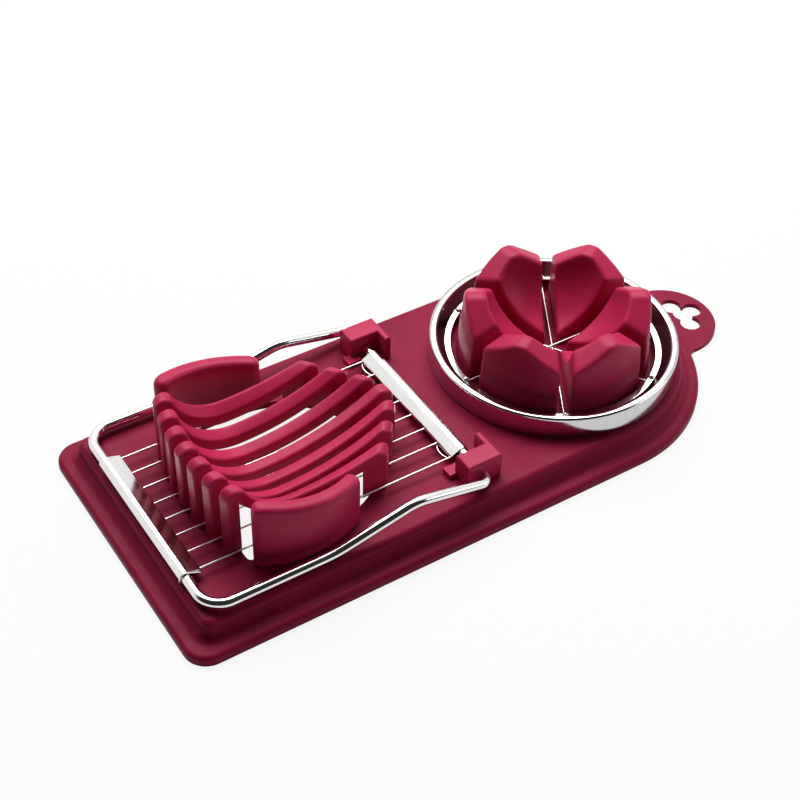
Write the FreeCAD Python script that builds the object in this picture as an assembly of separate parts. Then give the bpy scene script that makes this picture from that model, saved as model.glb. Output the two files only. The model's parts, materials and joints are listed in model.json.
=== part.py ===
import FreeCAD, Part
import math
import os

# Egg slicer with two stations: a wire bow over a ribbed cradle, and a wire ring over six petals.
# Millimetres. +X runs along the length to the hang tab, +Y to the rear, +Z up.
# The origin is at the middle of the footprint, on the table.

# Base: margins round the two stations, which make it 198 long over the hang tab and 87 wide
LEFT_MARGIN = 8.2         # left end of the lip to the bow's cross bar
SIDE_MARGIN = 7.5         # side of the lip to the bow's arm
SLICER_SPAN = 83.2        # cross bar to pivot
HINGE_TO_RING = 11.1      # pivot to the wedging ring
TAB_REACH = 15.9          # round end of the lip to the tip of the hang tab
LIP_CORNER_RADIUS = 6.5
LIP_HEIGHT = 3.0
LIP_EDGE_RADIUS = 1.4
TRAY_INSET = 5.4          # lip edge to tray wall
TRAY_TOP = 8.8
TRAY_CORNER_RADIUS = 3.2
TRAY_EDGE_RADIUS = 1.8
COVE_RADIUS = 3.0         # hollow curve between lip and tray wall
WALL = 2.0
DECK = 2.2

# Base: opening in the deck under the cradle
WINDOW_FROM_BAR = 16.8    # cross bar to the opening's left edge
WINDOW_ROUND_SHIFT = 7.5  # lowest point of the egg bed to the round end's centre
WINDOW_MARGIN = 2.625     # outer wire to the opening's side
WINDOW_CORNER_RADIUS = 1.5

# Hang tab
TAB_RADIUS = 14.7
TAB_THICKNESS = 1.4
TAB_FILLET = 4.0
TAB_HOLE_INSET = 8.4      # tab tip to the middle of the clover hole
CLOVER_RADIUS = 3.1       # middle and side lobes
CLOVER_SIDE_OFFSET = 4.7
CLOVER_SIDE_ANGLE = 101.0
CLOVER_TIP_RADIUS = 2.9
CLOVER_TIP_OFFSET = 3.5

# Slicing wires and cradle ribs: a rib stands between each pair of wires
RIB_COUNT = 7
WIRE_PITCH = 6.45
WIRE_DIAMETER = 0.55
RIB_THICKNESS = 4.0
RIB_FROM_BAR = 10.6       # cross bar to the left end of the middle rib
RIB_LEFT_ARC = 66.0       # the left ends lie on this radius
RIB_TO_PIVOT = 8.5        # right end of the middle rib to the pivot
RIB_RIGHT_SLOPE = 0.9     # the right ends lie on a V with a rounded point
RIB_RIGHT_ROUND = 6.0
HORN_TOP = 30.4           # tall left end of a rib
HORN_RADIUS = 2.8
CREST_TOP = 22.6          # low right end of a rib
CREST_RADIUS = 3.0
CRADLE_FROM_BAR = 33.8    # cross bar to the lowest point of the egg bed
CRADLE_LOW = 12.9
CRADLE_ROLL = 34.0        # radius of the egg bed across the ribs
BEAM_DEPTH = 3.2
LEFT_POST = 2.8
RIGHT_POST = 7.4
RIB_EDGE_RADIUS = 0.9

# Egg guards in front of and behind the ribs
GUARD_SHIFT = 1.2         # lowest point of the egg bed to the axis of the guards' round plan
GUARD_WIRE_GAP = 0.5373   # outer wire to the guards' ends
GUARD_THICKNESS = 4.6
GUARD_LEFT_ANGLE = 30.0
GUARD_RIGHT_ANGLE = 31.4
GUARD_TOP_LEFT = 30.4
GUARD_TOP_RIGHT = 24.2
GUARD_DIP = 0.6
GUARD_CORNER_RADIUS = 3.4
GUARD_OUTER_ROUND = 2.0    # upright corners
GUARD_INNER_ROUND = 1.8
GUARD_EDGE_RADIUS = 1.2

# Hinge
PIVOT_Z = 11.5
PIVOT_CLEARANCE = 0.06    # radial, rod in lug bore
LUG_TO_FRONT = 4.9        # pivot to the lug's left face
LUG_TO_BACK = 5.8         # pivot to the lug's right face
LUG_TO_ARM = 3.1          # lug's outer face to the bow's arm
LUG_WIDTH = 6.1
LUG_TOP = 16.2
LUG_ARM_THICKNESS = 1.8
LUG_ARM_LENGTH = 4.3
LUG_STEP_OUT = 2.2        # low step beyond the lug's left face
LUG_STEP_IN = 2.0         # and past it, under the rod
LUG_STEP_WIDTH = 3.4
LUG_STEP_OVERLAP = 0.9
LUG_STEP_TOP = 10.4
LUG_EDGE_RADIUS = 0.6

# Bow
ROD_DIAMETER = 2.8
BOW_GUARD_GAP = 2.6       # bow's arm to the guards
BOW_CORNER_RADIUS = 6.5
BOW_REST_GAP = 0.5        # strip on the cross bar to the tray
HUMP_FROM_PIVOT = 23.4
HUMP_RISE = 5.1           # hump above the pivot
HUMP_RADIUS = 14.0
HUMP_START_FROM_PIVOT = 47.4
HUMP_START_RADIUS = 30.0
PIVOT_BEND_RADIUS = 3.0
ROD_END_Y = 12.0          # the rod's ends stop here, inside the hinge strip

# Folded strips that hold the wires
STRIP_THICKNESS = 0.35
STRIP_FIT = 0.05          # strip to rod, and strip to wire
BOW_STRIP_MARGIN = 0.825  # strip end beyond the outer wire
BOW_STRIP_REACH = 3.8     # rod centre to the wire clamp
HINGE_STRIP_MARGIN = 0.375
HINGE_STRIP_REACH = 3.0
LOOP_BULGE = 1.1
TIE_TURN = 300.0          # degrees of wire round the cross bar

# Wedging station: petals
PETAL_COUNT = 6
PETAL_BASE_RADIUS = 28.0
PETAL_DRAFT = 1.6         # base radius less top radius
PETAL_SLOT = 3.6
PETAL_TOP = 30.6
PETAL_RIDGE = 3.0
PETAL_SLOPE = 33.0        # degrees, roof of a petal
BOWL_RADIUS = 20.3
BOWL_LOW = 12.7
PETAL_EDGE_RADIUS = 0.7

# Wedging station: ring
RING_CLEARANCE = 1.5      # petals to the ring's flange
RING_SLOPE = 2.35         # width of the slope from flange to rim
RING_REST_GAP = 0.3
RING_HEIGHT = 6.7
RIM_RADIUS = 1.15
RING_SHEET = 0.7
RING_LEAN = 0.15
FLANGE_WIDTH = 1.8
FLANGE_Z = 11.7           # underside of the inner flange
FLANGE_SHEET = 0.6
WEDGE_WIRE_COUNT = 3
WEDGE_WIRE_GAP = 0.03     # between crossing wires
FERRULE_RADIUS = 0.6
FERRULE_HEAD = 0.8
FERRULE_FOOT = 0.35

# Values that follow from the sizes above
WIRE_RADIUS = WIRE_DIAMETER / 2
ROD_RADIUS = ROD_DIAMETER / 2
WIRE_COUNT = RIB_COUNT + 1
WIRE_YS = [(i - (WIRE_COUNT - 1) / 2) * WIRE_PITCH for i in range(WIRE_COUNT)]
RIB_YS = [(i - (RIB_COUNT - 1) / 2) * WIRE_PITCH for i in range(RIB_COUNT)]
GUARD_END_ANGLE = math.radians(max(GUARD_LEFT_ANGLE, GUARD_RIGHT_ANGLE))
GUARD_INNER_RADIUS = (WIRE_YS[-1] + WIRE_RADIUS + GUARD_WIRE_GAP) / math.cos(GUARD_END_ANGLE)
GUARD_RADIUS = GUARD_INNER_RADIUS + GUARD_THICKNESS
BOW_HALF_WIDTH = GUARD_RADIUS + BOW_GUARD_GAP + ROD_RADIUS
HALF_WIDTH = BOW_HALF_WIDTH + SIDE_MARGIN
PETAL_TOP_RADIUS = PETAL_BASE_RADIUS - PETAL_DRAFT
FLANGE_INNER_RADIUS = PETAL_BASE_RADIUS + RING_CLEARANCE
FLANGE_OUTER_RADIUS = FLANGE_INNER_RADIUS + FLANGE_WIDTH
RING_RADIUS = FLANGE_OUTER_RADIUS + RING_SLOPE + 2 * RIM_RADIUS + RING_LEAN
LENGTH = LEFT_MARGIN + SLICER_SPAN + HINGE_TO_RING + RING_RADIUS + HALF_WIDTH + TAB_REACH
LEFT_X = -LENGTH / 2
BOW_END_X = LEFT_X + LEFT_MARGIN
PIVOT_X = BOW_END_X + SLICER_SPAN
ROUND_END_X = PIVOT_X + HINGE_TO_RING + RING_RADIUS
TAB_X = LENGTH / 2 - TAB_RADIUS
RIB_LEFT_X = BOW_END_X + RIB_FROM_BAR
RIB_RIGHT_X = PIVOT_X - RIB_TO_PIVOT
CRADLE_X = BOW_END_X + CRADLE_FROM_BAR
GUARD_X = CRADLE_X - GUARD_SHIFT
WINDOW_LEFT_X = BOW_END_X + WINDOW_FROM_BAR
WINDOW_ROUND_X = CRADLE_X + WINDOW_ROUND_SHIFT
WINDOW_HALF_WIDTH = WIRE_YS[-1] + WINDOW_MARGIN
LUG_OUTER_Y = BOW_HALF_WIDTH - LUG_TO_ARM
LUG_INNER_Y = LUG_OUTER_Y - LUG_WIDTH
HUMP_X = PIVOT_X - HUMP_FROM_PIVOT
HUMP_START_X = PIVOT_X - HUMP_START_FROM_PIVOT
STRIP_ROUND = ROD_RADIUS + STRIP_FIT + STRIP_THICKNESS
STRIP_NOSE = WIRE_RADIUS + STRIP_FIT + STRIP_THICKNESS
BAR_Z = TRAY_TOP + BOW_REST_GAP + STRIP_ROUND
WIRE_Z = BAR_Z
BOW_STRIP_HALF = WIRE_YS[-1] + BOW_STRIP_MARGIN
HINGE_STRIP_HALF = WIRE_YS[-1] + HINGE_STRIP_MARGIN
BOW_CLAMP_X = BOW_END_X + BOW_STRIP_REACH
HINGE_CLAMP_X = PIVOT_X - HINGE_STRIP_REACH
FERRULE_RING = (FLANGE_INNER_RADIUS + FLANGE_OUTER_RADIUS) / 2
FERRULE_HEAD_RADIUS = FLANGE_WIDTH / 2 - STRIP_FIT
PICK = 0.01               # tolerance when edges are chosen by where they lie


def vec(x, y, z):
    return FreeCAD.Vector(x, y, z)


def line(a, b):
    return Part.LineSegment(a, b).toShape()


def arc(a, middle, b):
    return Part.Arc(a, middle, b).toShape()


def prism(edges, direction):
    """Extrudes a closed outline along a vector."""
    return Part.Face(Part.Wire(edges)).extrude(direction)


def box(x0, x1, y0, y1, z0, z1):
    return Part.makeBox(x1 - x0, y1 - y0, z1 - z0, vec(x0, y0, z0))


def mirrored(shape):
    """The same piece on the other side of the length."""
    return shape.mirror(vec(0, 0, 0), vec(0, 1, 0))


def save(shape, name):
    shape.exportStep(os.path.join("parts", name + ".step"))


def on_arc(centre, radius, degrees, plane):
    """A point on a circle, in the plan ('xy') or side ('xz') plane."""
    a = radius * math.cos(math.radians(degrees))
    b = radius * math.sin(math.radians(degrees))
    if plane == "xy":
        return vec(centre.x + a, centre.y + b, centre.z)
    return vec(centre.x + a, centre.y, centre.z + b)


def plan_outline(left, half, corner, round_x, z):
    """Plan with two rounded left corners and a half-round right end."""
    diagonal = corner * (1 - math.sqrt(0.5))
    rear_start = vec(left + corner, half, z)
    rear_end = vec(left, half - corner, z)
    front_start = vec(left, corner - half, z)
    front_end = vec(left + corner, -half, z)
    return [
        line(front_end, vec(round_x, -half, z)),
        arc(vec(round_x, -half, z), vec(round_x + half, 0, z), vec(round_x, half, z)),
        line(vec(round_x, half, z), rear_start),
        arc(rear_start, vec(left + diagonal, half - diagonal, z), rear_end),
        line(rear_end, front_start),
        arc(front_start, vec(left + diagonal, diagonal - half, z), front_end),
    ]


def level_edges(shape, z):
    """Edges that lie flat at one height."""
    return [e for e in shape.Edges if e.BoundBox.ZMin > z - PICK and e.BoundBox.ZMax < z + PICK]


def base_tray():
    up = vec(0, 0, LIP_HEIGHT)
    lip = prism(plan_outline(LEFT_X, HALF_WIDTH, LIP_CORNER_RADIUS, ROUND_END_X, 0), up)
    lip = lip.makeFillet(LIP_EDGE_RADIUS, level_edges(lip, LIP_HEIGHT))
    half = HALF_WIDTH - TRAY_INSET
    left = LEFT_X + TRAY_INSET
    outline = plan_outline(left, half, TRAY_CORNER_RADIUS, ROUND_END_X, 0)
    tray = prism(outline, vec(0, 0, TRAY_TOP))
    tray = tray.makeFillet(TRAY_EDGE_RADIUS, level_edges(tray, TRAY_TOP))
    body = lip.fuse(tray).removeSplitter()
    foot = [e for e in level_edges(body, LIP_HEIGHT) if e.BoundBox.XMin > left - PICK]
    foot = [e for e in foot if max(e.BoundBox.YMax, -e.BoundBox.YMin) < half + PICK]
    body = body.makeFillet(COVE_RADIUS, foot)
    inner = plan_outline(left + WALL, half - WALL, TRAY_CORNER_RADIUS, ROUND_END_X, 0)
    body = body.cut(prism(inner, vec(0, 0, TRAY_TOP - DECK)))
    window = plan_outline(WINDOW_LEFT_X, WINDOW_HALF_WIDTH, WINDOW_CORNER_RADIUS, WINDOW_ROUND_X, 0)
    return body.cut(prism(window, vec(0, 0, TRAY_TOP)))


def hang_tab():
    disc = Part.makeCylinder(TAB_RADIUS, TAB_THICKNESS, vec(TAB_X, 0, 0))
    end = Part.makeCylinder(HALF_WIDTH, TAB_THICKNESS, vec(ROUND_END_X, 0, 0))
    plate = disc.fuse(end).removeSplitter()
    upright = [e for e in plate.Edges if e.BoundBox.ZLength > TAB_THICKNESS - PICK]
    corners = [e for e in upright if e.BoundBox.XLength < PICK and abs(e.BoundBox.YMin) > PICK]
    tab = plate.makeFillet(TAB_FILLET, corners).cut(end)
    middle = vec(LENGTH / 2 - TAB_HOLE_INSET, 0, 0)
    lobes = [(CLOVER_TIP_RADIUS, on_arc(middle, CLOVER_TIP_OFFSET, 0, "xy"))]
    for angle in (-CLOVER_SIDE_ANGLE, CLOVER_SIDE_ANGLE):
        lobes.append((CLOVER_RADIUS, on_arc(middle, CLOVER_SIDE_OFFSET, angle, "xy")))
    clover = Part.makeCylinder(CLOVER_RADIUS, TAB_THICKNESS, middle)
    clover = clover.fuse([Part.makeCylinder(radius, TAB_THICKNESS, at) for radius, at in lobes])
    return tab.cut(clover)


def bed_height(y):
    """Lowest height of the egg bed at a distance y from the middle."""
    return CRADLE_LOW + CRADLE_ROLL - math.sqrt(CRADLE_ROLL ** 2 - y ** 2)


def rib_left(y):
    return RIB_LEFT_X + RIB_LEFT_ARC - math.sqrt(RIB_LEFT_ARC ** 2 - y ** 2)


def rib_right(y):
    return RIB_RIGHT_X - RIB_RIGHT_SLOPE * (math.hypot(y, RIB_RIGHT_ROUND) - RIB_RIGHT_ROUND)


def bed_arc(end, end_radius, low):
    """Circle through the bed's lowest point that touches a rib end: centre, radius, touching point."""
    across = end.x - low.x
    above = end.z - low.z
    radius = (across ** 2 + above ** 2 - end_radius ** 2) / (2 * (above + end_radius))
    centre = vec(low.x, low.y, low.z + radius)
    toward = centre.sub(end)
    touch = end.add(toward.multiply(end_radius / toward.Length))
    return centre, radius, touch


def between(centre, radius, a, b):
    """Middle of the short arc from a to b."""
    half_way = a.sub(centre).add(b.sub(centre))
    return centre.add(half_way.multiply(radius / half_way.Length))


def under_point(centre, radius, x):
    """Point at x on the lower half of a circle."""
    return vec(x, centre.y, centre.z - math.sqrt(radius ** 2 - (x - centre.x) ** 2))


def rib_outline(y):
    """Side view of a rib cut at y: horn, egg bed, crest and right post, arch below, left post."""
    left = rib_left(y)
    right = rib_right(y)
    low = vec(CRADLE_X, y, bed_height(y))
    horn = vec(left + HORN_RADIUS, y, HORN_TOP - HORN_RADIUS)
    crest = vec(right - CREST_RADIUS, y, CREST_TOP - CREST_RADIUS)
    left_centre, left_radius, left_touch = bed_arc(horn, HORN_RADIUS, low)
    right_centre, right_radius, right_touch = bed_arc(crest, CREST_RADIUS, low)
    horn_side = vec(left, y, horn.z)
    horn_peak = vec(horn.x, y, HORN_TOP)
    crest_side = vec(right, y, crest.z)
    left_in = left + LEFT_POST
    right_in = right - RIGHT_POST
    left_under = under_point(left_centre, left_radius + BEAM_DEPTH, left_in)
    right_under = under_point(right_centre, right_radius + BEAM_DEPTH, right_in)
    keel = vec(low.x, y, low.z - BEAM_DEPTH)
    return Part.Wire([
        line(vec(left, y, TRAY_TOP), horn_side),
        arc(horn_side, horn_peak, left_touch),
        arc(left_touch, between(left_centre, left_radius, left_touch, low), low),
        arc(low, between(right_centre, right_radius, low, right_touch), right_touch),
        arc(right_touch, between(crest, CREST_RADIUS, right_touch, crest_side), crest_side),
        line(crest_side, vec(right, y, TRAY_TOP)),
        line(vec(right, y, TRAY_TOP), vec(right_in, y, TRAY_TOP)),
        line(vec(right_in, y, TRAY_TOP), right_under),
        arc(right_under, between(right_centre, right_radius + BEAM_DEPTH, right_under, keel), keel),
        arc(keel, between(left_centre, left_radius + BEAM_DEPTH, keel, left_under), left_under),
        line(left_under, vec(left_in, y, TRAY_TOP)),
        line(vec(left_in, y, TRAY_TOP), vec(left, y, TRAY_TOP)),
    ])


def cradle_rib(y):
    """An arch on two posts. Its top leans with the egg bed, so the two faces have their own outlines."""
    outlines = [rib_outline(y + side * RIB_THICKNESS / 2) for side in (-1, 1)]
    rib = Part.makeLoft(outlines, True, True)
    crown = [v.Point for outline in outlines for v in outline.OrderedVertexes[1:6]]
    soft = [e for e in rib.Edges if joins_two(e, crown)]
    return rib.makeFillet(RIB_EDGE_RADIUS, soft)


def joins_two(edge, points):
    """True for an edge along a rib's face whose two ends are both among the points."""
    if edge.BoundBox.YLength > RIB_THICKNESS / 2:
        return False
    ends = [vertex.Point for vertex in edge.Vertexes]
    return all(min(p.distanceToPoint(e) for p in points) < PICK for e in ends)


def egg_guard():
    """Front guard: a wall on a round plan, with a top that falls to the right."""
    height = GUARD_TOP_LEFT - TRAY_TOP
    foot = vec(GUARD_X, 0, TRAY_TOP)
    up = vec(0, 0, 1)
    wall = Part.makeCylinder(GUARD_RADIUS, height, foot, up, GUARD_LEFT_ANGLE + GUARD_RIGHT_ANGLE)
    wall = wall.cut(Part.makeCylinder(GUARD_INNER_RADIUS, height, foot))
    wall.rotate(foot, up, -90 - GUARD_LEFT_ANGLE)
    wall = wall.makeFillet(GUARD_OUTER_ROUND, upright_edges(wall, GUARD_RADIUS))
    wall = wall.makeFillet(GUARD_INNER_ROUND, upright_edges(wall, GUARD_INNER_RADIUS))
    left = GUARD_X - GUARD_RADIUS * math.sin(math.radians(GUARD_LEFT_ANGLE))
    right = GUARD_X + GUARD_RADIUS * math.sin(math.radians(GUARD_RIGHT_ANGLE))
    front = -GUARD_RADIUS - GUARD_THICKNESS
    left_foot = vec(left, front, TRAY_TOP)
    right_foot = vec(right, front, TRAY_TOP)
    left_top = vec(left, front, GUARD_TOP_LEFT)
    right_top = vec(right, front, GUARD_TOP_RIGHT)
    middle = left_top.add(right_top).multiply(0.5).sub(vec(0, 0, GUARD_DIP))
    side = [
        line(left_foot, left_top),
        arc(left_top, middle, right_top),
        line(right_top, right_foot),
        line(right_foot, left_foot),
    ]
    profile = prism(side, vec(0, GUARD_RADIUS, 0))
    corners = [e for e in profile.Edges if e.BoundBox.YLength > PICK and e.BoundBox.ZMin > TRAY_TOP + PICK]
    guard = wall.common(profile.makeFillet(GUARD_CORNER_RADIUS, corners))
    rim = [e for e in guard.Edges if e.BoundBox.ZMin > TRAY_TOP + PICK and e.BoundBox.XLength > PICK]
    return guard.makeFillet(GUARD_EDGE_RADIUS, rim)


def upright_edges(shape, radius):
    """Upright edges at one distance from the guards' axis."""
    found = []
    for edge in shape.Edges:
        corner = edge.BoundBox
        away = math.hypot(corner.XMin - GUARD_X, corner.YMin)
        if max(corner.XLength, corner.YLength) < PICK and abs(away - radius) < PICK:
            found.append(edge)
    return found


def hinge_lug():
    """Front lug: a block with the rod's bore, an arm behind the hinge strip and a low step in front."""
    left = PIVOT_X - LUG_TO_FRONT
    right = PIVOT_X + LUG_TO_BACK
    block = box(left, right, -LUG_OUTER_Y, -LUG_INNER_Y, TRAY_TOP, LUG_TOP)
    arm_left = right - LUG_ARM_THICKNESS
    arm = box(arm_left, right, -LUG_INNER_Y, -LUG_INNER_Y + LUG_ARM_LENGTH, TRAY_TOP, LUG_TOP)
    step_left = left - LUG_STEP_OUT
    step_y = -LUG_INNER_Y - LUG_STEP_OVERLAP
    step = box(step_left, left + LUG_STEP_IN, step_y, step_y + LUG_STEP_WIDTH, TRAY_TOP, LUG_STEP_TOP)
    lug = block.fuse([arm, step]).removeSplitter()
    lug = lug.makeFillet(LUG_EDGE_RADIUS, level_edges(lug, LUG_TOP))
    bore_radius = ROD_RADIUS + PIVOT_CLEARANCE
    bore = Part.makeCylinder(bore_radius, LUG_OUTER_Y, vec(PIVOT_X, -LUG_OUTER_Y, PIVOT_Z), vec(0, 1, 0))
    return lug.cut(bore)


def rounded_path(points, radii):
    """Straight runs joined by tangent arcs, one radius for each inner point."""
    edges = []
    start = points[0]
    for before, corner, after, radius in zip(points, points[1:], points[2:], radii):
        back = before.sub(corner).normalize()
        ahead = after.sub(corner).normalize()
        half_angle = back.getAngle(ahead) / 2
        trim = radius / math.tan(half_angle)
        first = corner.add(vec(back.x, back.y, back.z).multiply(trim))
        last = corner.add(vec(ahead.x, ahead.y, ahead.z).multiply(trim))
        bisector = back.add(ahead).normalize()
        middle = corner.add(bisector.multiply(radius / math.sin(half_angle) - radius))
        edges.append(line(start, first))
        edges.append(arc(first, middle, last))
        start = last
    edges.append(line(start, points[-1]))
    return Part.Wire(edges)


def rod_along(path, radius):
    start = path.Edges[0]
    normal = start.tangentAt(start.FirstParameter)
    circle = Part.Wire(Part.makeCircle(radius, start.valueAt(start.FirstParameter), normal))
    return path.makePipeShell([circle], True, False)


def slicer_bow():
    """Bent rod: in through one lug, over the hump, along the tray, across, and back to the other lug."""
    side = [
        vec(PIVOT_X, -ROD_END_Y, PIVOT_Z),
        vec(PIVOT_X, -BOW_HALF_WIDTH, PIVOT_Z),
        vec(HUMP_X, -BOW_HALF_WIDTH, PIVOT_Z + HUMP_RISE),
        vec(HUMP_START_X, -BOW_HALF_WIDTH, BAR_Z),
        vec(BOW_END_X, -BOW_HALF_WIDTH, BAR_Z),
    ]
    radii = [PIVOT_BEND_RADIUS, HUMP_RADIUS, HUMP_START_RADIUS, BOW_CORNER_RADIUS]
    other = [vec(p.x, -p.y, p.z) for p in reversed(side)]
    return rod_along(rounded_path(side + other, radii + radii[::-1]), ROD_RADIUS)


def wrap_outline(round_at, round_radius, nose_at, nose_radius):
    """Two circles of different size joined by their outer tangents."""
    toward = nose_at.sub(round_at)
    heading = math.degrees(math.atan2(toward.z, toward.x))
    spread = math.degrees(math.acos((round_radius - nose_radius) / toward.Length))
    top_round = on_arc(round_at, round_radius, heading + spread, "xz")
    top_nose = on_arc(nose_at, nose_radius, heading + spread, "xz")
    low_round = on_arc(round_at, round_radius, heading - spread, "xz")
    low_nose = on_arc(nose_at, nose_radius, heading - spread, "xz")
    return [
        line(top_round, top_nose),
        arc(top_nose, on_arc(nose_at, nose_radius, heading, "xz"), low_nose),
        line(low_nose, low_round),
        arc(low_round, on_arc(round_at, round_radius, heading + 180, "xz"), top_round),
    ]


def folded_strip(rod_x, rod_z, clamp_x, half):
    """A strip folded round the rod, its two free edges closed on the wires."""
    along = vec(0, 2 * half, 0)
    rod_at = vec(rod_x, -half, rod_z)
    clamp_at = vec(clamp_x, -half, WIRE_Z)
    outer = prism(wrap_outline(rod_at, STRIP_ROUND, clamp_at, STRIP_NOSE), along)
    slot = STRIP_NOSE - STRIP_THICKNESS
    inner = prism(wrap_outline(rod_at, STRIP_ROUND - STRIP_THICKNESS, clamp_at, slot), along)
    beyond = clamp_x + math.copysign(2 * STRIP_NOSE, clamp_x - rod_x)
    mouth_left = min(clamp_x, beyond)
    mouth_right = max(clamp_x, beyond)
    mouth = box(mouth_left, mouth_right, -half, half, WIRE_Z - slot, WIRE_Z + slot)
    return outer.cut([inner, mouth])


def slicing_wire(y):
    span = HINGE_CLAMP_X - BOW_CLAMP_X
    return Part.makeCylinder(WIRE_RADIUS, span, vec(BOW_CLAMP_X, y, WIRE_Z), vec(1, 0, 0))


def wire_return_loops():
    """Where the wire leaves one clamp and comes back beside it, at both ends of the hinge strip."""
    z = WIRE_Z - STRIP_NOSE + STRIP_THICKNESS / 2
    x = HINGE_CLAMP_X - STRIP_NOSE
    radius = STRIP_THICKNESS / 2
    loops = []
    for first, second in ((WIRE_YS[0], WIRE_YS[1]), (WIRE_YS[-2], WIRE_YS[-1])):
        bend = arc(vec(x, first, z), vec(x - LOOP_BULGE, (first + second) / 2, z), vec(x, second, z))
        loops.append(rod_along(Part.Wire(bend), radius))
    return Part.makeCompound(loops)


def wire_end_tie():
    """The wire's end: most of a turn round the cross bar, and a straight run off it to the clamp."""
    y = -BOW_STRIP_HALF - WIRE_RADIUS - STRIP_FIT
    turn = ROD_RADIUS + STRIP_FIT + WIRE_RADIUS
    centre = vec(BOW_END_X, y, BAR_Z)
    leave = math.degrees(math.acos(turn / BOW_STRIP_REACH))
    off = on_arc(centre, turn, leave, "xz")
    half_way = on_arc(centre, turn, leave + TIE_TURN / 2, "xz")
    wrap = arc(on_arc(centre, turn, leave + TIE_TURN, "xz"), half_way, off)
    return rod_along(Part.Wire([wrap, line(off, vec(BOW_CLAMP_X, y, WIRE_Z))]), WIRE_RADIUS)


def wedge_petal(index):
    """One sixth of a ring of blocks: roofed top, bowl cut inside, slots for the wires at both sides."""
    height = PETAL_TOP - TRAY_TOP
    axis = vec(ROUND_END_X, 0, TRAY_TOP)
    body = Part.makeCone(PETAL_BASE_RADIUS, PETAL_TOP_RADIUS, height, axis)
    half_turn = 180.0 / PETAL_COUNT
    tip = PETAL_SLOT / 2 / math.sin(math.radians(half_turn))
    reach = PETAL_BASE_RADIUS
    side = reach * math.tan(math.radians(half_turn))
    corner = vec(ROUND_END_X + tip, 0, TRAY_TOP)
    far_left = vec(ROUND_END_X + tip + reach, side, TRAY_TOP)
    far_right = vec(ROUND_END_X + tip + reach, -side, TRAY_TOP)
    sector_edges = [line(corner, far_right), line(far_right, far_left), line(far_left, corner)]
    sector = prism(sector_edges, vec(0, 0, height))
    eaves = PETAL_TOP - (side - PETAL_RIDGE / 2) * math.tan(math.radians(PETAL_SLOPE))
    roof = [
        vec(ROUND_END_X, -side, TRAY_TOP - height),
        vec(ROUND_END_X, side, TRAY_TOP - height),
        vec(ROUND_END_X, side, eaves),
        vec(ROUND_END_X, PETAL_RIDGE / 2, PETAL_TOP),
        vec(ROUND_END_X, -PETAL_RIDGE / 2, PETAL_TOP),
        vec(ROUND_END_X, -side, eaves),
    ]
    roof_edges = [line(a, b) for a, b in zip(roof, roof[1:] + roof[:1])]
    petal = body.common(sector).common(prism(roof_edges, vec(2 * reach, 0, 0)))
    petal = petal.cut(Part.makeSphere(BOWL_RADIUS, vec(ROUND_END_X, 0, BOWL_LOW + BOWL_RADIUS)))
    soft = [e for e in petal.Edges if e.BoundBox.ZMin > TRAY_TOP + PICK]
    petal = petal.makeFillet(PETAL_EDGE_RADIUS, soft)
    petal.rotate(vec(ROUND_END_X, 0, 0), vec(0, 0, 1), half_turn * (2 * index + 1))
    return petal


def wedger_ring():
    """Pressed ring: outer skirt, rolled rim, sloping inner skirt and inner flange with ferrule holes."""
    foot = TRAY_TOP + RING_REST_GAP
    rim_z = foot + RING_HEIGHT - RIM_RADIUS
    rim_r = RING_RADIUS - RING_LEAN - RIM_RADIUS
    hollow = RIM_RADIUS - RING_SHEET
    flange_top = FLANGE_Z + FLANGE_SHEET
    p = [
        vec(RING_RADIUS, 0, foot),
        vec(rim_r + RIM_RADIUS, 0, rim_z),
        vec(rim_r - RIM_RADIUS, 0, rim_z),
        vec(FLANGE_OUTER_RADIUS, 0, flange_top),
        vec(FLANGE_INNER_RADIUS, 0, flange_top),
        vec(FLANGE_INNER_RADIUS, 0, FLANGE_Z),
        vec(FLANGE_OUTER_RADIUS + FLANGE_SHEET / 2, 0, FLANGE_Z),
        vec(rim_r - hollow, 0, rim_z),
        vec(rim_r + hollow, 0, rim_z),
        vec(RING_RADIUS - RING_SHEET, 0, foot),
    ]
    section = [
        line(p[0], p[1]),
        arc(p[1], vec(rim_r, 0, rim_z + RIM_RADIUS), p[2]),
        line(p[2], p[3]),
        line(p[3], p[4]),
        line(p[4], p[5]),
        line(p[5], p[6]),
        line(p[6], p[7]),
        arc(p[7], vec(rim_r, 0, rim_z + hollow), p[8]),
        line(p[8], p[9]),
        line(p[9], p[0]),
    ]
    ring = Part.Face(Part.Wire(section)).revolve(vec(0, 0, 0), vec(0, 0, 1), 360)
    hole = FERRULE_RADIUS + STRIP_FIT
    places = [on_arc(vec(0, 0, foot), FERRULE_RING, angle, "xy") for angle in ferrule_angles()]
    ring = ring.cut([Part.makeCylinder(hole, RING_HEIGHT, place) for place in places])
    ring.translate(vec(ROUND_END_X, 0, 0))
    return ring


def ferrule_angles():
    return [index * 180.0 / WEDGE_WIRE_COUNT for index in range(2 * WEDGE_WIRE_COUNT)]


def wedge_wire_z(index):
    """The crossing wires lie one under the other."""
    return FLANGE_Z - WIRE_RADIUS - STRIP_FIT - index * (WIRE_DIAMETER + WEDGE_WIRE_GAP)


def wedger_wire(index):
    reach = FERRULE_RING - FERRULE_RADIUS
    z = wedge_wire_z(index)
    wire = Part.makeCylinder(WIRE_RADIUS, 2 * reach, vec(-reach, 0, z), vec(1, 0, 0))
    wire.rotate(vec(0, 0, 0), vec(0, 0, 1), index * 180.0 / WEDGE_WIRE_COUNT)
    wire.translate(vec(ROUND_END_X, 0, 0))
    return wire


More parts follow.
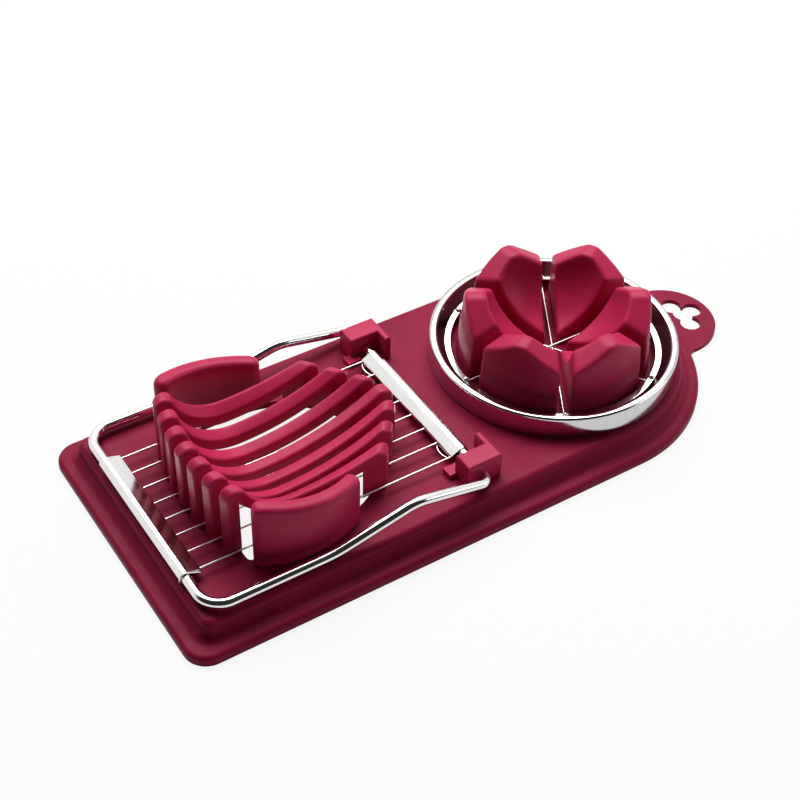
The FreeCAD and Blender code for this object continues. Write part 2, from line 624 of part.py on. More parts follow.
def ferrule(index):
    """A pin through the flange with a domed head; the wire's end butts on its shank."""
    flange_top = FLANGE_Z + FLANGE_SHEET
    low = wedge_wire_z(index % WEDGE_WIRE_COUNT) - WIRE_RADIUS - FERRULE_FOOT
    dome_z = flange_top + FERRULE_HEAD
    dome_radius = (FERRULE_HEAD_RADIUS ** 2 + FERRULE_HEAD ** 2) / (2 * FERRULE_HEAD)
    dome_centre = vec(0, 0, dome_z - dome_radius)
    shoulder = vec(FERRULE_HEAD_RADIUS, 0, flange_top)
    slope = between(dome_centre, dome_radius, shoulder, vec(0, 0, dome_z))
    section = [
        line(vec(0, 0, low), vec(FERRULE_RADIUS, 0, low)),
        line(vec(FERRULE_RADIUS, 0, low), vec(FERRULE_RADIUS, 0, flange_top)),
        line(vec(FERRULE_RADIUS, 0, flange_top), shoulder),
        arc(shoulder, slope, vec(0, 0, dome_z)),
        line(vec(0, 0, dome_z), vec(0, 0, low)),
    ]
    pin = Part.Face(Part.Wire(section)).revolve(vec(0, 0, 0), vec(0, 0, 1), 360)
    pin.translate(on_arc(vec(ROUND_END_X, 0, 0), FERRULE_RING, ferrule_angles()[index], "xy"))
    return pin


def build():
    os.makedirs("parts", exist_ok=True)
    save(base_tray(), "base_tray")
    save(hang_tab(), "hang_tab")
    lug = hinge_lug()
    save(lug, "hinge_lug_front")
    save(mirrored(lug), "hinge_lug_rear")
    for number, y in enumerate(RIB_YS, 1):
        save(cradle_rib(y), "cradle_rib_%d" % number)
    guard = egg_guard()
    save(guard, "egg_guard_front")
    save(mirrored(guard), "egg_guard_rear")
    for index in range(PETAL_COUNT):
        save(wedge_petal(index), "wedge_petal_%d" % (index + 1))
    save(slicer_bow(), "slicer_bow")
    save(folded_strip(BOW_END_X, BAR_Z, BOW_CLAMP_X, BOW_STRIP_HALF), "bow_wire_strip")
    save(folded_strip(PIVOT_X, PIVOT_Z, HINGE_CLAMP_X, HINGE_STRIP_HALF), "hinge_wire_strip")
    for number, y in enumerate(WIRE_YS, 1):
        save(slicing_wire(y), "slicing_wire_%d" % number)
    save(wire_return_loops(), "wire_return_loops")
    save(wire_end_tie(), "wire_end_tie")
    save(wedger_ring(), "wedger_ring")
    for index in range(WEDGE_WIRE_COUNT):
        save(wedger_wire(index), "wedger_wire_%d" % (index + 1))
    pins = [ferrule(index) for index in range(2 * WEDGE_WIRE_COUNT)]
    save(Part.makeCompound(pins), "wedger_wire_ferrules")


build()
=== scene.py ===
import bpy
import bmesh
import json
import math
from mathutils import Matrix, Vector


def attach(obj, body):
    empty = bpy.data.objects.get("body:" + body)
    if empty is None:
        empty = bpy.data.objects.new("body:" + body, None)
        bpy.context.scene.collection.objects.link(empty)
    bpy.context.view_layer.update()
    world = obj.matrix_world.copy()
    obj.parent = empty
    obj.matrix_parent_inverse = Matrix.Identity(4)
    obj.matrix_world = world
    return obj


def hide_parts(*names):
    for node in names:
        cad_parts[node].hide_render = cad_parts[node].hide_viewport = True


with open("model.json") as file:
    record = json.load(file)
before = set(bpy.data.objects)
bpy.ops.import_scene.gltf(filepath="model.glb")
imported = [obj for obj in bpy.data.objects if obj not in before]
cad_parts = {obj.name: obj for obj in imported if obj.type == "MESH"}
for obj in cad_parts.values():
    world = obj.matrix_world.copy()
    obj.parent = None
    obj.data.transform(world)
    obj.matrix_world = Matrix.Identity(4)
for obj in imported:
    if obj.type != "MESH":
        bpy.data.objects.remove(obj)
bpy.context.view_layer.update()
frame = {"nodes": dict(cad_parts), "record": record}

# Sizes in millimetres, the same as the solids; mm() turns them into the scene's metres.
MM = 0.001
ROD_RADIUS = 1.4
BAR_Z = 11.1
PIVOT = (-7.6, 11.5)
CROSS_BAR_X = -90.8
BOW_SIDE = 36.0
ROD_END_Y = 12.0
HUMP = (-31.0, 16.6)
HUMP_START_X = -55.0
BOW_BENDS = (3.0, 14.0, 30.0, 6.5)
WIRE_RADIUS = 0.275
WIRE_PITCH = 6.45
WIRE_COUNT = 8
BOW_CLAMP_X = -87.0
HINGE_CLAMP_X = -10.6
STRIP_ROUND = 1.8
STRIP_NOSE = 0.675
STRIP_SHEET = 0.35
BOW_STRIP_HALF = 23.4
HINGE_STRIP_HALF = 22.95
WEDGER_X = 39.6
RING_FOOT = 9.1
RING_RADIUS = 36.1
RIM_RADIUS = 1.15
RIM_CENTRE = (34.8, 14.65)
RING_SHEET = 0.7
FLANGE_INNER = 29.5
FLANGE_OUTER = 31.3
FLANGE_LOW = 11.7
FLANGE_TOP = 12.3
WEDGE_WIRE_REACH = 29.7
WEDGE_WIRE_TOP_Z = 11.375
WEDGE_WIRE_STEP = 0.58

# Softer forms than the solids have: the ring's crown, and the edges of petals and guards.
RIM_SQUARENESS = 3.0
ROUNDING_GRID = 0.4
ROUNDING_PASSES = 16
ROUNDING_FOOT = 1.0

# Fineness of the round pieces.
ROD_SIDES = 40
BEND_STEPS = 28
WIRE_SIDES = 16
RING_STEPS = 256

# The camera, worked out from the base's length and width.
VIEW_AZIMUTH = -33.688
VIEW_ELEVATION = 42.95
VIEW_ROLL = 1.736
VIEW_DISTANCE = 441.65
VIEW_AIM = (-9.99, 4.45, 10.0)
VIEW_FOCAL_PIXELS = 1578.909
IMAGE_PIXELS = 800
SENSOR = 36.0

# Studio, in metres and watts: the dark side's direction and fade, the world's share of the light,
# the floor's colour and glow, and the two softboxes.
DARK_SIDE = (-0.50, -0.75, 0.43)
DARK_FADE = (0.10, 0.45)
DARK_LEVEL = 0.03
AMBIENT = 0.16
FLOOR_HALF = 4.0
FLOOR_WHITE = (0.75, 0.75, 0.75)
FLOOR_GLOW = 0.88
REAR_KEY_AT = (0.16, 0.42, 0.72)
REAR_KEY_SIZE = (0.9, 0.55)
REAR_KEY_POWER = 11.0
RIGHT_FILL_AT = (0.70, -0.45, 0.35)
RIGHT_FILL_SIZE = (0.5, 0.4)
RIGHT_FILL_POWER = 1.5

# Colours, as linear values. The tray burgundy is darker and the rib burgundy lighter than the one moulding's
# colour: painted shade and painted light.
SHADED_TRAY_BURGUNDY = (0.240, 0.008, 0.040)
LIT_RIB_BURGUNDY = (0.460, 0.019, 0.078)
STEEL = (0.80, 0.79, 0.78)
# The ring's steel, dimmed from the bow's steel to darken its reflections: painted shade.
DIMMED_RING_STEEL = (0.60, 0.59, 0.59)
# Near-black steel for the ring's inner slope: painted shade and painted dark reflection, not a finish of its
# own.
SHADED_STEEL = (0.12, 0.10, 0.10)
WIRE_STEEL = (0.80, 0.77, 0.76)


def mm(x, y, z):
    return Vector((x, y, z)) * MM


def shader(name):
    """A new material: its node tree and its main shader."""
    material = bpy.data.materials.new(name)
    material.use_nodes = True
    return material, material.node_tree, material.node_tree.nodes["Principled BSDF"]


def add(tree, kind, **settings):
    node = tree.nodes.new(kind)
    for key, value in settings.items():
        setattr(node, key, value)
    return node


def noise(tree, scale, detail, squeeze=(1, 1, 1)):
    """Noise on the piece's own coordinates, stretched along an axis by a small squeeze value."""
    coords = add(tree, "ShaderNodeTexCoord")
    mapping = add(tree, "ShaderNodeMapping")
    mapping.inputs["Scale"].default_value = squeeze
    texture = add(tree, "ShaderNodeTexNoise")
    texture.inputs["Scale"].default_value = scale
    texture.inputs["Detail"].default_value = detail
    tree.links.new(coords.outputs["Object"], mapping.inputs["Vector"])
    tree.links.new(mapping.outputs["Vector"], texture.inputs["Vector"])
    return texture.outputs["Fac"]


def spread(tree, source, low, high):
    """Turns the middle of a noise into a range of values."""
    node = add(tree, "ShaderNodeMapRange")
    node.inputs["From Min"].default_value = 0.3
    node.inputs["From Max"].default_value = 0.7
    node.inputs["To Min"].default_value = low
    node.inputs["To Max"].default_value = high
    tree.links.new(source, node.inputs["Value"])
    return node.outputs["Result"]


def bump(tree, height, strength, depth):
    node = add(tree, "ShaderNodeBump")
    node.inputs["Strength"].default_value = strength
    node.inputs["Distance"].default_value = depth
    tree.links.new(height, node.inputs["Height"])
    return node.outputs["Normal"]


def tint(tree, factor, first, second):
    node = add(tree, "ShaderNodeMix", data_type="RGBA")
    node.inputs["A"].default_value = (*first, 1)
    node.inputs["B"].default_value = (*second, 1)
    tree.links.new(factor, node.inputs["Factor"])
    return node.outputs["Result"]


def moulded_plastic(name, colour, gloss, rough_low, rough_high, grain):
    """Burgundy plastic: faint clouding, uneven gloss and a fine mould grain."""
    material, tree, main = shader(name)
    pale = [min(1.0, c * 1.10) for c in colour]
    deep = [c * 0.90 for c in colour]
    clouds = spread(tree, noise(tree, 60, 3), 0, 1)
    tree.links.new(tint(tree, clouds, deep, pale), main.inputs["Base Color"])
    tree.links.new(spread(tree, noise(tree, 240, 4), rough_low, rough_high), main.inputs["Roughness"])
    tree.links.new(bump(tree, noise(tree, 2600, 2), grain, 0.00006), main.inputs["Normal"])
    main.inputs["IOR"].default_value = 1.49
    main.inputs["Specular IOR Level"].default_value = gloss
    return material


def polished_steel(name, colour, gloss_low, gloss_high, squeeze):
    """Stainless steel: a mirror finish with fine polishing lines along one axis."""
    material, tree, main = shader(name)
    lines = noise(tree, 1800, 3, squeeze)
    shade = [c * 0.93 for c in colour]
    tree.links.new(tint(tree, spread(tree, lines, 0, 1), shade, colour), main.inputs["Base Color"])
    tree.links.new(spread(tree, lines, gloss_low, gloss_high), main.inputs["Roughness"])
    tree.links.new(bump(tree, lines, 0.06, 0.00002), main.inputs["Normal"])
    main.inputs["Metallic"].default_value = 1.0
    return material


# The tray's darker and the ribs' lighter base colour are painted shade and painted light; their gloss and
# grain differences are real.
TRAY_PLASTIC = moulded_plastic("tray_plastic", SHADED_TRAY_BURGUNDY, 0.07, 0.40, 0.52, 0.22)
RIB_PLASTIC = moulded_plastic("rib_plastic", LIT_RIB_BURGUNDY, 0.12, 0.32, 0.44, 0.10)
BOW_STEEL = polished_steel("bow_steel", STEEL, 0.07, 0.14, (0.05, 1, 1))
STRIP_STEEL = polished_steel("strip_steel", STEEL, 0.08, 0.16, (1, 0.05, 1))
# The ring in dimmed steel: painted shade in its reflections.
RING_STEEL = polished_steel("ring_steel", DIMMED_RING_STEEL, 0.07, 0.15, (1, 1, 0.05))
# The ring's inner slope in near-black steel: painted shade.
RING_PAINTED_SHADE = polished_steel("ring_painted_shade", SHADED_STEEL, 0.10, 0.20, (1, 1, 0.05))
WIRE_METAL = polished_steel("wire_metal", WIRE_STEEL, 0.24, 0.34, (0.05, 1, 1))


def place(name, mesh, body, slot, *nodes):
    """Puts a finished mesh in the scene, on its body and in the place of its CAD nodes."""
    piece = bpy.data.objects.new(name, mesh)
    bpy.context.scene.collection.objects.link(piece)
    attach(piece, body)
    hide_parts(*nodes)
    return piece


def soften(work, angle):
    """Smooth shading, with edges sharper than the angle kept crisp."""
    for face in work.faces:
        face.smooth = True
    for edge in work.edges:
        edge.smooth = len(edge.link_faces) == 2 and edge.calc_face_angle(0.0) < math.radians(angle)


def finished(work, name, material, angle=32):
    bmesh.ops.recalc_face_normals(work, faces=work.faces)
    soften(work, angle)
    mesh = bpy.data.meshes.new(name)
    work.to_mesh(mesh)
    work.free()
    mesh.materials.append(material)
    return mesh


def rule(name, inputs):
    """A new geometry tree with named inputs: the tree, its input node and its output node."""
    tree = bpy.data.node_groups.new(name, "GeometryNodeTree")
    tree.interface.new_socket("Geometry", in_out="INPUT", socket_type="NodeSocketGeometry")
    for label, kind in inputs:
        tree.interface.new_socket(label, in_out="INPUT", socket_type="NodeSocket" + kind)
    tree.interface.new_socket("Geometry", in_out="OUTPUT", socket_type="NodeSocketGeometry")
    return tree, add(tree, "NodeGroupInput"), add(tree, "NodeGroupOutput")


def feed(tree, node, **sources):
    """Links sockets to a node's inputs, or sets plain values; a name's underscores stand for spaces."""
    for key, value in sources.items():
        socket = node.inputs[key.replace("_", " ")]
        if isinstance(value, bpy.types.NodeSocket):
            tree.links.new(value, socket)
        else:
            socket.default_value = value


def finish_rule(tree, geometry, material, out):
    """The end of every tree: real geometry, smooth shading and a material."""
    real = add(tree, "GeometryNodeRealizeInstances")
    smooth = add(tree, "GeometryNodeSetShadeSmooth")
    paint = add(tree, "GeometryNodeSetMaterial")
    feed(tree, real, Geometry=geometry)
    feed(tree, smooth, Geometry=real.outputs["Geometry"])
    feed(tree, paint, Geometry=smooth.outputs["Geometry"], Material=material)
    feed(tree, out, Geometry=paint.outputs["Geometry"])


def grown(name, data, tree, values):
    """Runs a tree on some data and returns the result as a plain mesh."""
    source = bpy.data.objects.new(name, data)
    bpy.context.scene.collection.objects.link(source)
    modifier = source.modifiers.new("rule", "NODES")
    modifier.node_group = tree
    for item in tree.interface.items_tree:
        if item.in_out == "INPUT" and item.name in values:
            modifier[item.identifier] = values[item.name]
    graph = bpy.context.evaluated_depsgraph_get()
    mesh = bpy.data.meshes.new_from_object(source.evaluated_get(graph), depsgraph=graph)
    mesh.name = name
    source.modifiers.clear()
    bpy.data.objects.remove(source)
    return mesh


def bent_rod_rule():
    """A rod along the input path; each point's radius is the bend there."""
    inputs = [("Rod Radius", "Float"), ("Sides", "Int"), ("Bend Steps", "Int"), ("Material", "Material")]
    tree, given, out = rule("bent_rod", inputs)
    bend = add(tree, "GeometryNodeInputRadius")
    fillet = add(tree, "GeometryNodeFilletCurve", mode="POLY")
    even = add(tree, "GeometryNodeSetCurveRadius")
    section = add(tree, "GeometryNodeCurvePrimitiveCircle")
    sweep = add(tree, "GeometryNodeCurveToMesh")
    feed(tree, fillet, Curve=given.outputs["Geometry"], Radius=bend.outputs["Radius"], Limit_Radius=True)
    feed(tree, fillet, Count=given.outputs["Bend Steps"])
    feed(tree, even, Curve=fillet.outputs["Curve"], Radius=1.0)
    feed(tree, section, Resolution=given.outputs["Sides"], Radius=given.outputs["Rod Radius"])
    feed(tree, sweep, Curve=even.outputs["Curve"], Profile_Curve=section.outputs["Curve"], Fill_Caps=True)
    finish_rule(tree, sweep.outputs["Mesh"], given.outputs["Material"], out)
    return tree


def wire_row_rule():
    """Straight wires side by side along Y, each running along X from the start point."""
    inputs = [("Count", "Int"), ("Pitch", "Float"), ("Length", "Float"), ("Wire Radius", "Float")]
    tree, given, out = rule("wire_row", inputs + [("Start", "Vector"), ("Material", "Material")])
    step = add(tree, "ShaderNodeCombineXYZ")
    row = add(tree, "GeometryNodeMeshLine")
    reach = add(tree, "ShaderNodeCombineXYZ")
    run = add(tree, "GeometryNodeCurvePrimitiveLine")
    section = add(tree, "GeometryNodeCurvePrimitiveCircle")
    sweep = add(tree, "GeometryNodeCurveToMesh")
    copies = add(tree, "GeometryNodeInstanceOnPoints")
    feed(tree, step, Y=given.outputs["Pitch"])
    feed(tree, row, Count=given.outputs["Count"], Start_Location=given.outputs["Start"])
    feed(tree, row, Offset=step.outputs["Vector"])
    feed(tree, reach, X=given.outputs["Length"])
    feed(tree, run, End=reach.outputs["Vector"])
    feed(tree, section, Resolution=WIRE_SIDES, Radius=given.outputs["Wire Radius"])
    feed(tree, sweep, Curve=run.outputs["Curve"], Profile_Curve=section.outputs["Curve"], Fill_Caps=True)
    feed(tree, copies, Points=row.outputs["Mesh"], Instance=sweep.outputs["Mesh"])
    finish_rule(tree, copies.outputs["Instances"], given.outputs["Material"], out)
    return tree


def wire_star_rule():
    """Wires that cross at one axis, each turned on from the last and lying one step lower."""
    inputs = [("Count", "Int"), ("Reach", "Float"), ("Wire Radius", "Float"), ("Step", "Float")]
    tree, given, out = rule("wire_star", inputs + [("Centre", "Vector"), ("Material", "Material")])
    drop = add(tree, "ShaderNodeCombineXYZ")
    stack = add(tree, "GeometryNodeMeshLine")
    behind = add(tree, "ShaderNodeMath", operation="MULTIPLY")
    start = add(tree, "ShaderNodeCombineXYZ")
    end = add(tree, "ShaderNodeCombineXYZ")
    run = add(tree, "GeometryNodeCurvePrimitiveLine")
    section = add(tree, "GeometryNodeCurvePrimitiveCircle")
    sweep = add(tree, "GeometryNodeCurveToMesh")
    number = add(tree, "GeometryNodeInputIndex")
    share = add(tree, "ShaderNodeMath", operation="DIVIDE")
    angle = add(tree, "ShaderNodeMath", operation="MULTIPLY")
    turn = add(tree, "ShaderNodeCombineXYZ")
    copies = add(tree, "GeometryNodeInstanceOnPoints")
    behind.inputs[1].default_value = -1.0
    angle.inputs[1].default_value = math.pi
    tree.links.new(given.outputs["Reach"], behind.inputs[0])
    tree.links.new(number.outputs["Index"], share.inputs[0])
    tree.links.new(given.outputs["Count"], share.inputs[1])
    tree.links.new(share.outputs["Value"], angle.inputs[0])
    feed(tree, drop, Z=given.outputs["Step"])
    feed(tree, stack, Count=given.outputs["Count"], Start_Location=given.outputs["Centre"])
    feed(tree, stack, Offset=drop.outputs["Vector"])
    feed(tree, start, X=behind.outputs["Value"])
    feed(tree, end, X=given.outputs["Reach"])
    feed(tree, run, Start=start.outputs["Vector"], End=end.outputs["Vector"])
    feed(tree, section, Resolution=WIRE_SIDES, Radius=given.outputs["Wire Radius"])
    feed(tree, sweep, Curve=run.outputs["Curve"], Profile_Curve=section.outputs["Curve"], Fill_Caps=True)
    feed(tree, turn, Z=angle.outputs["Value"])
    feed(tree, copies, Points=stack.outputs["Mesh"], Instance=sweep.outputs["Mesh"])
    feed(tree, copies, Rotation=turn.outputs["Vector"])
    finish_rule(tree, copies.outputs["Instances"], given.outputs["Material"], out)
    return tree


def path_curve(name, points, bends):
    """A polyline whose points carry their bend radius."""
    curve = bpy.data.curves.new(name, "CURVE")
    curve.dimensions = "3D"
    run = curve.splines.new("POLY")
    run.points.add(len(points) - 1)
    for corner, point, bend in zip(run.points, points, bends):
        corner.co = (*mm(*point), 1)
        corner.radius = bend * MM
    return curve


def bow_rod():
    side = [
        (PIVOT[0], -ROD_END_Y, PIVOT[1]),
        (PIVOT[0], -BOW_SIDE, PIVOT[1]),
        (HUMP[0], -BOW_SIDE, HUMP[1]),
        (HUMP_START_X, -BOW_SIDE, BAR_Z),
        (CROSS_BAR_X, -BOW_SIDE, BAR_Z),
    ]
    bends = [0.0, *BOW_BENDS]
    other = [(x, -y, z) for x, y, z in reversed(side)]
    curve = path_curve("bow_path", side + other, bends + bends[::-1])
    values = {
        "Rod Radius": ROD_RADIUS * MM,
        "Sides": ROD_SIDES,
        "Bend Steps": BEND_STEPS,
        "Material": BOW_STEEL,
    }
    mesh = grown("bow_rod", curve, bent_rod_rule(), values)
    place("bow_rod", mesh, "slicer", "polished_steel", "slicer_bow")


def slicing_wires():
    first = -(WIRE_COUNT - 1) / 2 * WIRE_PITCH
    values = {
        "Count": WIRE_COUNT,
        "Pitch": WIRE_PITCH * MM,
        "Length": (HINGE_CLAMP_X - BOW_CLAMP_X) * MM,
        "Wire Radius": WIRE_RADIUS * MM,
        "Start": mm(BOW_CLAMP_X, first, BAR_Z),
        "Material": WIRE_METAL,
    }
    mesh = grown("slicing_wires", bpy.data.meshes.new("wire_seed"), wire_row_rule(), values)
    nodes = ["slicing_wire_%d" % number for number in range(1, WIRE_COUNT + 1)]
    place("slicing_wires", mesh, "slicer", "steel_wire", *nodes)


def wedger_wires():
    values = {
        "Count": 3,
        "Reach": WEDGE_WIRE_REACH * MM,
        "Wire Radius": WIRE_RADIUS * MM,
        "Step": -WEDGE_WIRE_STEP * MM,
        "Centre": mm(WEDGER_X, 0, WEDGE_WIRE_TOP_Z),
        "Material": WIRE_METAL,
    }
    mesh = grown("wedger_wires", bpy.data.meshes.new("star_seed"), wire_star_rule(), values)
    place("wedger_wires", mesh, "wedger", "steel_wire", "wedger_wire_1", "wedger_wire_2", "wedger_wire_3")


def arc_points(centre, radius, start, end, count):
    """Points on a circle in the side plane, from one angle to another."""
    angles = [math.radians(start + (end - start) * i / count) for i in range(count + 1)]
    return [(centre[0] + radius * math.cos(a), centre[1] + radius * math.sin(a)) for a in angles]


def rim_points(centre, radius, squareness, start, end, count):
    """The upper half of a rim with a flattened crown; a squareness of 2 is a plain circle."""
    points = []
    for i in range(count + 1):
        angle = math.radians(start + (end - start) * i / count)
        across = math.copysign(abs(math.cos(angle)) ** (2 / squareness), math.cos(angle))
        rise = abs(math.sin(angle)) ** (2 / squareness)
        points.append((centre[0] + radius * across, centre[1] + radius * rise))
    return points


def wrap_points(rod_at, rod_radius, clamp_at, clamp_radius, count):
    """Outline of a strip folded round the rod and closed on the wires."""
    run = math.dist(rod_at, clamp_at)
    heading = math.degrees(math.atan2(clamp_at[1] - rod_at[1], clamp_at[0] - rod_at[0]))
    lean = math.degrees(math.acos((rod_radius - clamp_radius) / run))
    back = arc_points(rod_at, rod_radius, heading + lean, heading + 360 - lean, count)
    return back + arc_points(clamp_at, clamp_radius, heading - lean, heading + lean, count // 2)


def bridge(work, first, second):
    """Joins two closed rows of points by a band of faces."""
    for i in range(len(first)):
        j = (i + 1) % len(first)
        work.faces.new((first[i], second[i], second[j], first[j]))


def folded_strip(name, node, rod_at, clamp_x, half):
    """The strip: its outside and inside wraps joined at the two ends."""
    clamp_at = (clamp_x, BAR_Z)
    outside = wrap_points(rod_at, STRIP_ROUND, clamp_at, STRIP_NOSE, 48)
    inside = wrap_points(rod_at, STRIP_ROUND - STRIP_SHEET, clamp_at, STRIP_NOSE - STRIP_SHEET, 48)
    work = bmesh.new()
    rows = []
    for outline, end in ((outside, -half), (outside, half), (inside, half), (inside, -half)):
        rows.append([work.verts.new(mm(x, end, z)) for x, z in outline])
    for first, second in zip(rows, rows[1:] + rows[:1]):
        bridge(work, first, second)
    place(name, finished(work, name, STRIP_STEEL), "slicer", "polished_steel", node)


def turned(work, section, centre_x, steps):
    """Turns a closed section about the upright axis at centre_x."""
    rows = []
    for step in range(steps):
        angle = 2 * math.pi * step / steps
        c, s = math.cos(angle), math.sin(angle)
        rows.append([work.verts.new(mm(centre_x + r * c, r * s, z)) for r, z in section])
    for first, second in zip(rows, rows[1:] + rows[:1]):
        bridge(work, first, second)


def wedging_ring():
    """Pressed ring: outer skirt, rolled rim, inner slope, flange with a soft edge, and the sheet's inside.
    The inner slope's upward faces get near-black steel as painted shade and painted dark reflection.
    """
    hollow = RIM_RADIUS - RING_SHEET
    lip = (FLANGE_TOP - FLANGE_LOW) / 2
    section = [(RING_RADIUS - RING_SHEET, RING_FOOT), (RING_RADIUS, RING_FOOT)]
    section += rim_points(RIM_CENTRE, RIM_RADIUS, RIM_SQUARENESS, 0, 180, 36)
    section += [(FLANGE_OUTER + 0.25, FLANGE_TOP + 0.18), (FLANGE_OUTER, FLANGE_TOP)]
    section += arc_points((FLANGE_INNER + lip, FLANGE_LOW + lip), lip, 90, 270, 10)
    section += [(FLANGE_OUTER + lip, FLANGE_LOW)]
    section += arc_points(RIM_CENTRE, hollow, 180, 0, 12)
    work = bmesh.new()
    turned(work, section, WEDGER_X, RING_STEPS)
    mesh = finished(work, "wedging_ring", RING_STEEL)
    mesh.materials.append(RING_PAINTED_SHADE)
    # Painted shade: the upward faces of the inner slope take the near-black steel.
    for face in mesh.polygons:
        reach = math.hypot(face.center.x / MM - WEDGER_X, face.center.y / MM)
        painted_shade_slope = FLANGE_OUTER < reach < RIM_CENTRE[0] - RIM_RADIUS * 0.9
        face.material_index = 1 if painted_shade_slope and face.normal.z > 0.1 else 0
    place("wedging_ring", mesh, "wedger", "polished_steel", "wedger_ring")


def moulded_copy(node, body, material):
    """A CAD moulding as one welded, smoothly shaded mesh."""
    work = bmesh.new()
    work.from_mesh(frame["nodes"][node].data)
    bmesh.ops.remove_doubles(work, verts=work.verts, dist=0.000002)
    soften(work, 28)
    mesh = bpy.data.meshes.new("moulded_" + node)
    work.to_mesh(mesh)
    work.free()
    mesh.materials.clear()
    mesh.materials.append(material)
    place("moulded_" + node, mesh, body, "burgundy_plastic", node)


def rounded_copy(node, body, material):
    """A CAD moulding with its edges rounded off above its foot: remeshed finely, then relaxed."""
    source = bpy.data.objects.new("rounding_" + node, frame["nodes"][node].data.copy())
    bpy.context.scene.collection.objects.link(source)
    fine = source.modifiers.new("fine", "REMESH")
    fine.mode = "VOXEL"
    fine.voxel_size = ROUNDING_GRID * MM
    graph = bpy.context.evaluated_depsgraph_get()
    dense = bpy.data.meshes.new_from_object(source.evaluated_get(graph), depsgraph=graph)
    bpy.data.objects.remove(source)
    work = bmesh.new()
    work.from_mesh(dense)
    foot = min(vert.co.z for vert in work.verts) + ROUNDING_FOOT * MM
    upper = [vert for vert in work.verts if vert.co.z > foot]
    for turn in range(ROUNDING_PASSES):
        bmesh.ops.smooth_vert(
            work, verts=upper, factor=0.5, use_axis_x=True, use_axis_y=True, use_axis_z=True
        )
    soften(work, 60)
    mesh = bpy.data.meshes.new("moulded_" + node)
    work.to_mesh(mesh)
    work.free()
    mesh.materials.append(material)
    place("moulded_" + node, mesh, body, "burgundy_plastic", node)


def moulding():
    for node in frame["record"]["behaviour"]["bodies"]["base"]:
        plain = node in ("base_tray", "hang_tab")
        shape = rounded_copy if node.startswith(("wedge_petal", "egg_guard")) else moulded_copy
        # The tray and tab take the darker colour, and the ribs, petals and guards the lighter one: painted
        # shade and painted light.
        shape(node, "base", TRAY_PLASTIC if plain else RIB_PLASTIC)


def dress(node, material):
    """Gives a CAD node that stays in view its finish."""
    mesh = frame["nodes"][node].data
    mesh.materials.clear()
    mesh.materials.append(material)


def pale(name, colour, glow):
    """The floor's finish: shadowed by the object, and near white to the camera and in reflections."""
    material, tree, main = shader(name)
    main.inputs["Base Color"].default_value = (*colour, 1)
    main.inputs["Roughness"].default_value = 0.9
    light = add(tree, "ShaderNodeEmission")
    light.inputs["Strength"].default_value = 1.0
    mix = add(tree, "ShaderNodeMixShader")
    path = add(tree, "ShaderNodeLightPath")
    seen = add(tree, "ShaderNodeMath", operation="MAXIMUM")
    part = add(tree, "ShaderNodeMath", operation="MULTIPLY")
    part.inputs[1].default_value = glow
    tree.links.new(path.outputs["Is Camera Ray"], seen.inputs[0])
    tree.links.new(path.outputs["Is Glossy Ray"], seen.inputs[1])
    tree.links.new(seen.outputs["Value"], part.inputs[0])
    tree.links.new(part.outputs["Value"], mix.inputs["Fac"])
    tree.links.new(main.outputs["BSDF"], mix.inputs[1])
    tree.links.new(light.outputs["Emission"], mix.inputs[2])
    tree.links.new(mix.outputs["Shader"], tree.nodes["Material Output"].inputs["Surface"])
    return material


def floor():
    mesh = bpy.data.meshes.new("floor")
    half = FLOOR_HALF
    corners = [(-half, -half, 0), (half, -half, 0), (half, half, 0), (-half, half, 0)]
    mesh.from_pydata(corners, [], [(0, 1, 2, 3)])
    mesh.materials.append(pale("floor_white", FLOOR_WHITE, FLOOR_GLOW))
    obj = bpy.data.objects.new("floor", mesh)
    bpy.context.scene.collection.objects.link(obj)


def softbox(name, at, size, power):
    """A soft lamp that looks at the middle of the object's foot."""
    data = bpy.data.lights.new(name, "AREA")
    data.shape = "RECTANGLE"
    data.size = size[0]
    data.size_y = size[1]
    data.energy = power
    lamp = bpy.data.objects.new(name, data)
    lamp.location = at
    lamp.rotation_euler = (-Vector(at)).to_track_quat("-Z", "Y").to_euler()
    bpy.context.scene.collection.objects.link(lamp)


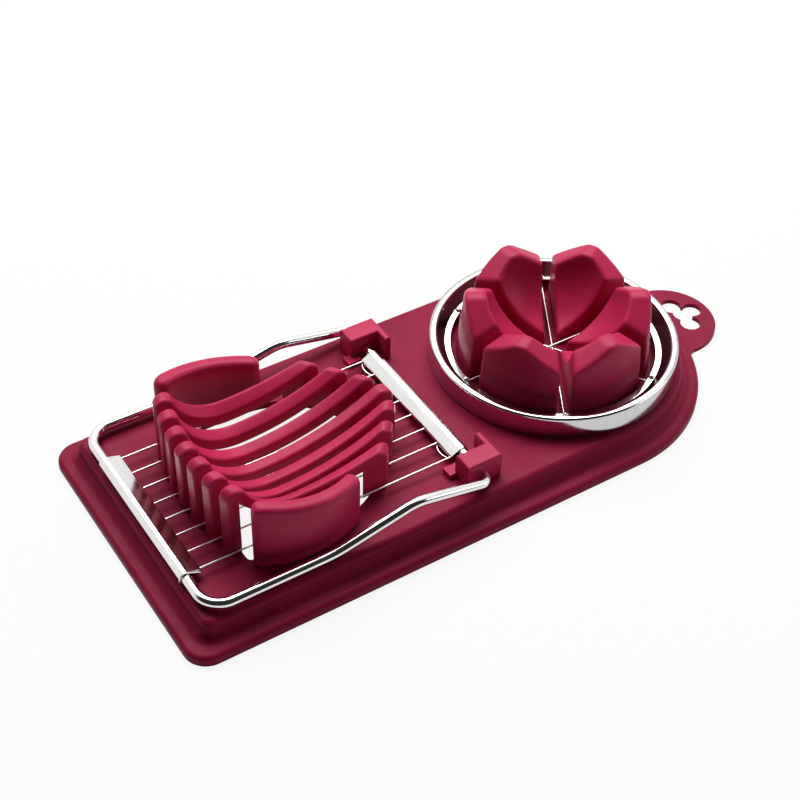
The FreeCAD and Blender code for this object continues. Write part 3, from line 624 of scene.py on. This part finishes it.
def surround():
    """A white studio, dark on the camera's side for light and reflections. The camera sees plain white."""
    world = bpy.data.worlds.new("studio")
    world.use_nodes = True
    tree = world.node_tree
    back = tree.nodes["Background"]
    coords = add(tree, "ShaderNodeTexCoord")
    toward = add(tree, "ShaderNodeVectorMath", operation="DOT_PRODUCT")
    toward.inputs[1].default_value = DARK_SIDE
    fall = add(tree, "ShaderNodeMapRange", interpolation_type="SMOOTHSTEP")
    fall.inputs["From Min"].default_value = DARK_FADE[0]
    fall.inputs["From Max"].default_value = DARK_FADE[1]
    fall.inputs["To Min"].default_value = 1.0
    fall.inputs["To Max"].default_value = DARK_LEVEL
    path = add(tree, "ShaderNodeLightPath")
    level = add(tree, "ShaderNodeMapRange")
    level.inputs["To Min"].default_value = AMBIENT
    level.inputs["To Max"].default_value = 1.0
    dimmed = add(tree, "ShaderNodeMath", operation="MULTIPLY")
    seen = add(tree, "ShaderNodeMath", operation="MAXIMUM")
    tree.links.new(coords.outputs["Generated"], toward.inputs[0])
    tree.links.new(toward.outputs["Value"], fall.inputs["Value"])
    tree.links.new(path.outputs["Is Glossy Ray"], level.inputs["Value"])
    tree.links.new(fall.outputs["Result"], dimmed.inputs[0])
    tree.links.new(level.outputs["Result"], dimmed.inputs[1])
    tree.links.new(dimmed.outputs["Value"], seen.inputs[0])
    tree.links.new(path.outputs["Is Camera Ray"], seen.inputs[1])
    tree.links.new(seen.outputs["Value"], back.inputs["Strength"])
    back.inputs["Color"].default_value = (1, 1, 1, 1)
    bpy.context.scene.world = world


def camera():
    azimuth = math.radians(VIEW_AZIMUTH)
    elevation = math.radians(VIEW_ELEVATION)
    roll = math.radians(VIEW_ROLL)
    level = math.cos(elevation)
    ahead = Vector((-math.sin(azimuth) * level, math.cos(azimuth) * level, -math.sin(elevation)))
    right = Vector((math.cos(azimuth), math.sin(azimuth), 0))
    up = right.cross(ahead)
    rolled_right = right * math.cos(roll) + up * math.sin(roll)
    rolled_up = up * math.cos(roll) - right * math.sin(roll)
    turn = Matrix((rolled_right, rolled_up, -ahead)).transposed().to_4x4()
    data = bpy.data.cameras.new("camera")
    data.sensor_fit = "HORIZONTAL"
    data.sensor_width = SENSOR
    data.lens = SENSOR * VIEW_FOCAL_PIXELS / IMAGE_PIXELS
    data.clip_start = 0.01
    obj = bpy.data.objects.new("camera", data)
    obj.matrix_world = Matrix.Translation(mm(*VIEW_AIM) - ahead * VIEW_DISTANCE * MM) @ turn
    bpy.context.scene.collection.objects.link(obj)
    bpy.context.scene.camera = obj


moulding()
bow_rod()
slicing_wires()
folded_strip("bow_strip", "bow_wire_strip", (CROSS_BAR_X, BAR_Z), BOW_CLAMP_X, BOW_STRIP_HALF)
folded_strip("hinge_strip", "hinge_wire_strip", PIVOT, HINGE_CLAMP_X, HINGE_STRIP_HALF)
wedging_ring()
wedger_wires()
for node in ("wire_return_loops", "wire_end_tie", "wedger_wire_ferrules"):
    dress(node, WIRE_METAL)

floor()
surround()
softbox("rear_key", REAR_KEY_AT, REAR_KEY_SIZE, REAR_KEY_POWER)
softbox("right_fill", RIGHT_FILL_AT, RIGHT_FILL_SIZE, RIGHT_FILL_POWER)
camera()
bpy.context.scene.view_settings.view_transform = "Standard"
